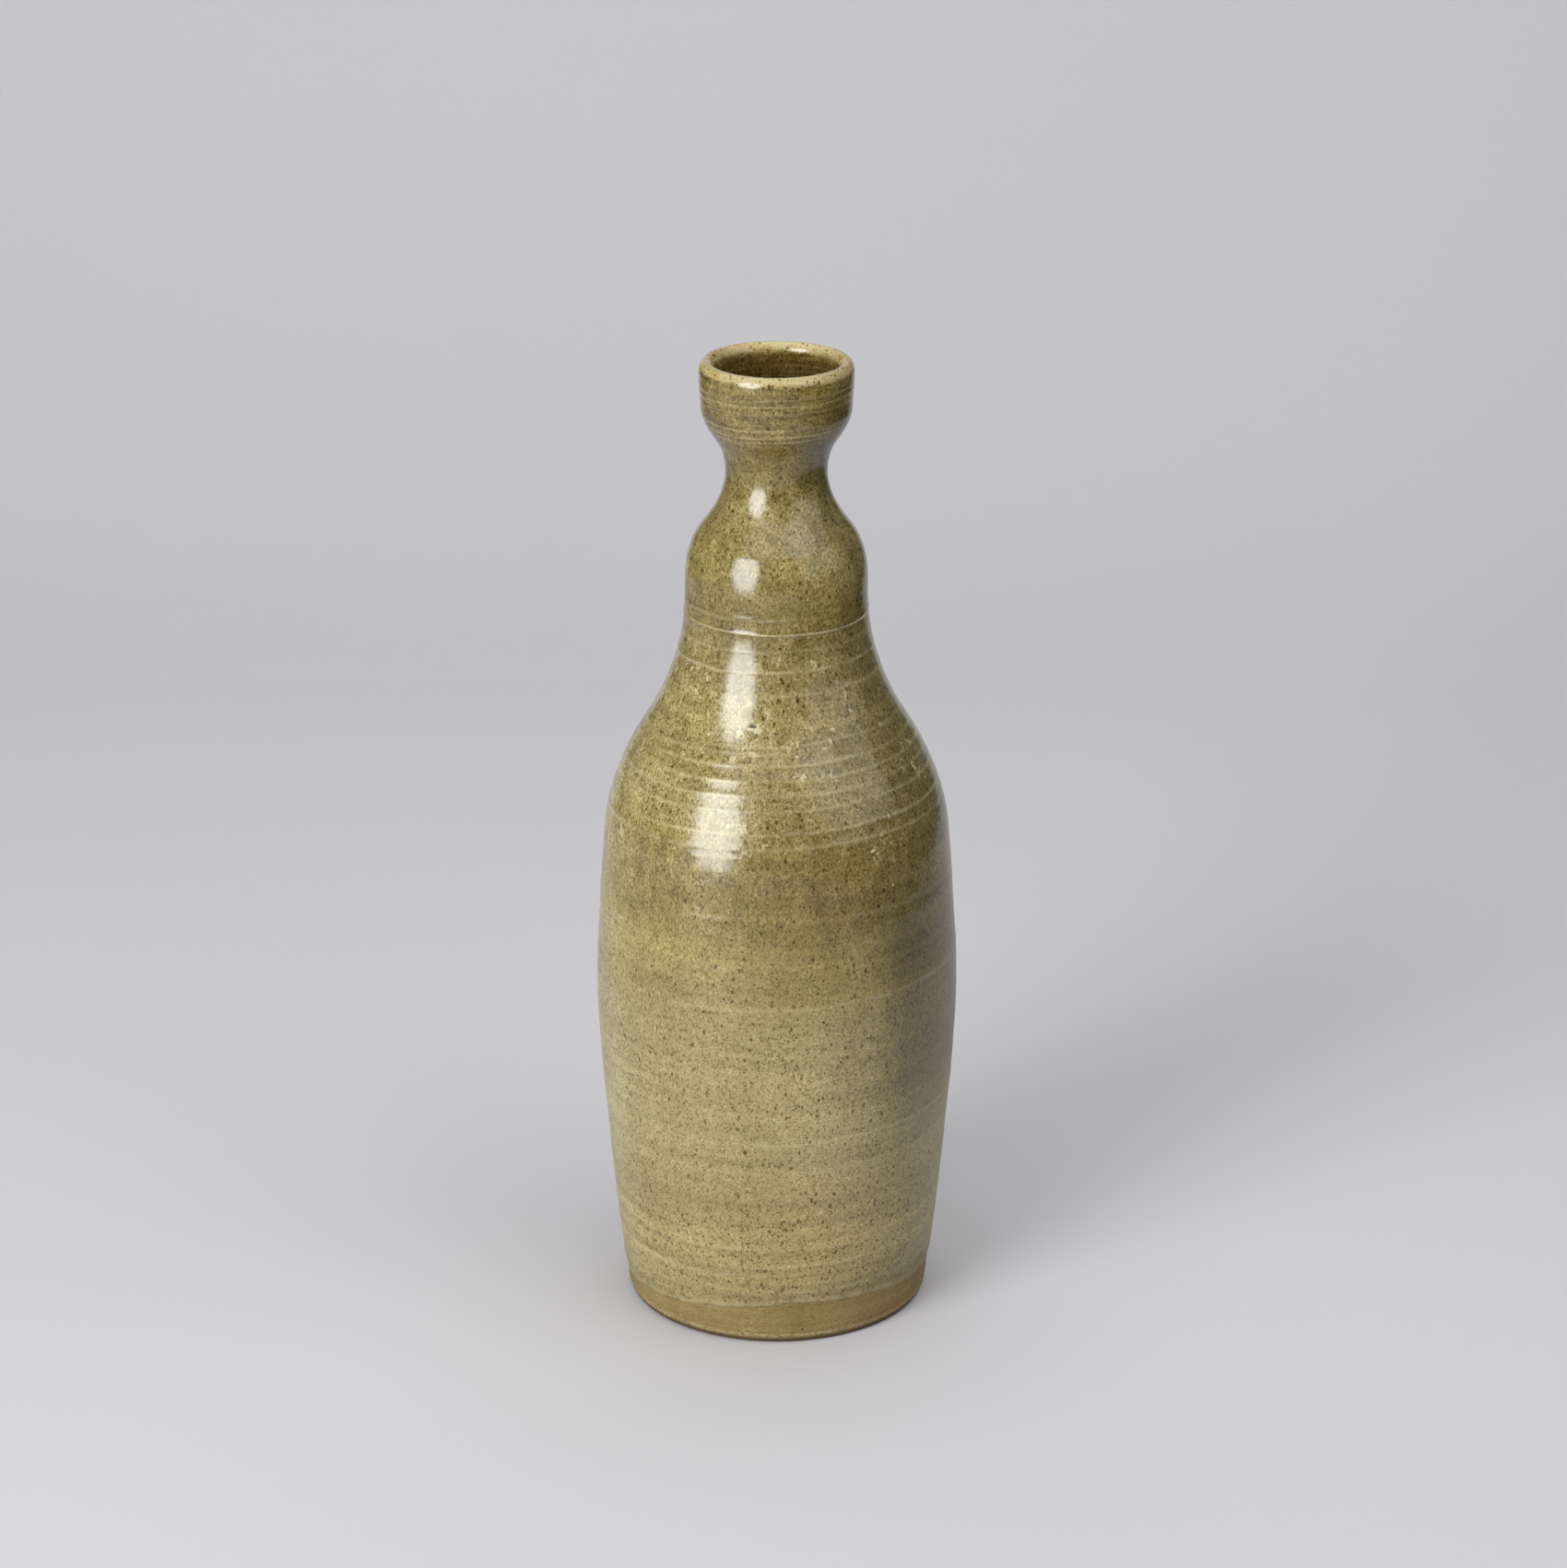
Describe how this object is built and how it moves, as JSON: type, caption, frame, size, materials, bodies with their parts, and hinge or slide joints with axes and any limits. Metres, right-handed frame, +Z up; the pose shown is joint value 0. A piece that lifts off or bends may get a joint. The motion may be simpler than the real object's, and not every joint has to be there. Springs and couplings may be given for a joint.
{
  "type": "sake bottle",
  "caption": "Wheel-thrown stoneware bottle with a tall body, sloping shoulder, small bulge, narrow waist and cup-shaped mouth, under an ash glaze with a bare foot band.",
  "frame": {"origin": "centre of the foot, on the plane the bottle stands on", "axes": "+Z up along the bottle's axis, -Y towards the side seen in the reference view"},
  "size_m": [0.0922, 0.0922, 0.25],
  "materials": {
    "bare_stoneware": "matte",
    "ash_glaze": "gloss",
    "lining_glaze": "gloss"
  },
  "bodies": {
    "root": {"clay_body": "bare_stoneware", "outer_glaze": "ash_glaze", "inner_glaze": "lining_glaze"}
  },
  "joints": []
}
